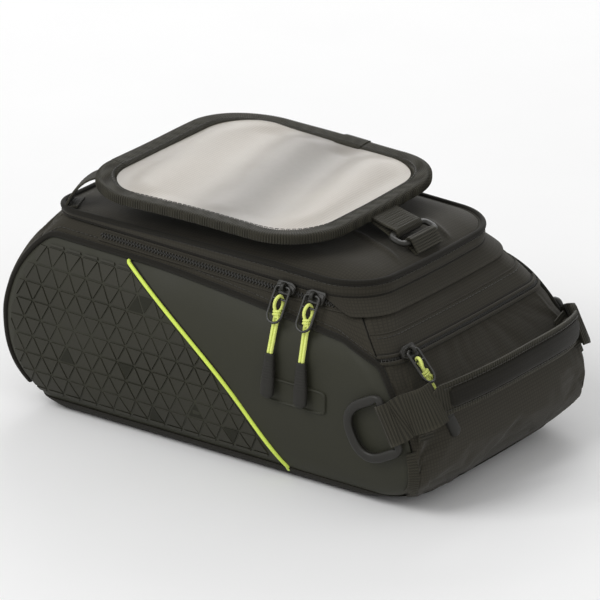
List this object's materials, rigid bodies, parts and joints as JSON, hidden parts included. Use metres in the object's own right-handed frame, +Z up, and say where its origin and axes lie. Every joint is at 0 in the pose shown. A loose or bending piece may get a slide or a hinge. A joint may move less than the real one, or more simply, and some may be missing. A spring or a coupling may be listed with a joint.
{
  "type": "motorcycle tank bag",
  "caption": "Padded motorcycle tank bag with a zipped hinged lid, clear map pocket, front pocket, carry handle and strap rings.",
  "frame": {"origin": "on the underside of the base, below the middle of the bag", "axes": "+X towards the carry handle end, +Y towards the bag's left side, +Z up"},
  "size_m": [0.3949, 0.2314, 0.1841],
  "materials": {
    "shell_cloth": "woven nylon, matt",
    "moulded_panel": "cloth-faced moulded foam, matt",
    "dark_cloth": "matt",
    "lining_cloth": "matt",
    "padding": "foam",
    "webbing": "ribbed weave",
    "hard_plastic": "moulded, satin",
    "soft_plastic": "moulded, matt",
    "lime_trim": "satin",
    "lime_cord": "braided",
    "clear_window": "clear flexible film"
  },
  "bodies": {
    "bag": {"base_panel": "dark_cloth", "base_board": "hard_plastic", "lining": "lining_cloth", "right_side_panel": "moulded_panel", "left_side_panel": "moulded_panel", "right_zip_gusset": "shell_cloth", "left_zip_gusset": "shell_cloth", "front_panel": "shell_cloth", "rear_panel": "shell_cloth", "right_welt": "dark_cloth", "left_welt": "dark_cloth", "right_corner_binding": "webbing", "left_corner_binding": "webbing", "right_piping": "lime_trim", "left_piping": "lime_trim", "side_patch": "soft_plastic", "front_pocket": "shell_cloth", "pocket_zip_tape": "dark_cloth", "pocket_zip_coil": "hard_plastic", "right_handle_tab": "webbing", "left_handle_tab": "webbing", "right_ring_strap": "webbing", "left_ring_strap": "webbing", "lid_hinge": "shell_cloth"},
    "lid": {"lid_band": "shell_cloth", "lid_panel": "moulded_panel", "lid_foam": "padding", "lid_lining": "lining_cloth", "zip_tape": "dark_cloth", "zip_coil": "hard_plastic", "map_back": "dark_cloth", "map_window": "clear_window", "map_binding": "webbing", "right_rear_strap": "webbing", "left_rear_strap": "webbing", "pocket_front_strap": "webbing", "lid_front_strap": "webbing", "strap_link": "hard_plastic"},
    "rear_zip": {"rear_slider": "hard_plastic"},
    "rear_pull": {"rear_pull_wire": "hard_plastic", "rear_pull_cord": "lime_cord", "rear_pull_grip": "soft_plastic"},
    "front_zip": {"front_slider": "hard_plastic"},
    "front_pull": {"front_pull_wire": "hard_plastic", "front_pull_cord": "lime_cord", "front_pull_grip": "soft_plastic"},
    "pocket_zip": {"pocket_slider": "hard_plastic"},
    "pocket_pull": {"pocket_pull_wire": "hard_plastic", "pocket_pull_cord": "lime_cord", "pocket_pull_grip": "soft_plastic"},
    "right_ring": {"right_d_ring": "hard_plastic"},
    "left_ring": {"left_d_ring": "hard_plastic"},
    "carry_handle": {"handle_webbing": "webbing", "handle_pad": "shell_cloth"}
  },
  "joints": [
    {"name": "lid_swing", "type": "hinge", "parent": "bag", "child": "lid", "pos_m": [-0.1522, 0, 0.14749], "axis": [0, -1, 0], "range_deg": [0, 100]},
    {"name": "rear_zip_slide", "type": "slide", "parent": "lid", "child": "rear_zip", "axis": [-0.9996, 0, 0.0295], "range_m": [0, 0.11]},
    {"name": "rear_pull_swing", "type": "hinge", "parent": "rear_zip", "child": "rear_pull", "pos_m": [0.06014, -0.09348, 0.14199], "axis": [-0.9996, 0, 0.0295], "range_deg": [0, 100]},
    {"name": "front_zip_slide", "type": "slide", "parent": "lid", "child": "front_zip", "axis": [0.9996, 0, -0.0295], "range_m": [0, 0.01]},
    {"name": "front_pull_swing", "type": "hinge", "parent": "front_zip", "child": "front_pull", "pos_m": [0.08514, -0.09348, 0.14127], "axis": [-0.9996, 0, 0.0295], "range_deg": [0, 100]},
    {"name": "pocket_zip_slide", "type": "slide", "parent": "bag", "child": "pocket_zip", "axis": [0.0128, 0.9999, 0], "range_m": [0, 0.09]},
    {"name": "pocket_pull_swing", "type": "hinge", "parent": "pocket_zip", "child": "pocket_pull", "pos_m": [0.15621, -0.076, 0.11227], "axis": [0.7431, 0, 0.6691], "range_deg": [-8, 10]},
    {"name": "right_ring_swing", "type": "hinge", "parent": "bag", "child": "right_ring", "pos_m": [0.162, -0.11104, 0.07], "axis": [-0.4695, 0, 0.8829], "range_deg": [0, 110]},
    {"name": "left_ring_swing", "type": "hinge", "parent": "bag", "child": "left_ring", "pos_m": [0.162, 0.11104, 0.07], "axis": [0.4695, 0, -0.8829], "range_deg": [0, 110]},
    {"name": "handle_swing", "type": "hinge", "parent": "bag", "child": "carry_handle", "pos_m": [0.17385, 0, 0.08099], "axis": [0, -1, 0], "range_deg": [0, 45]}
  ]
}
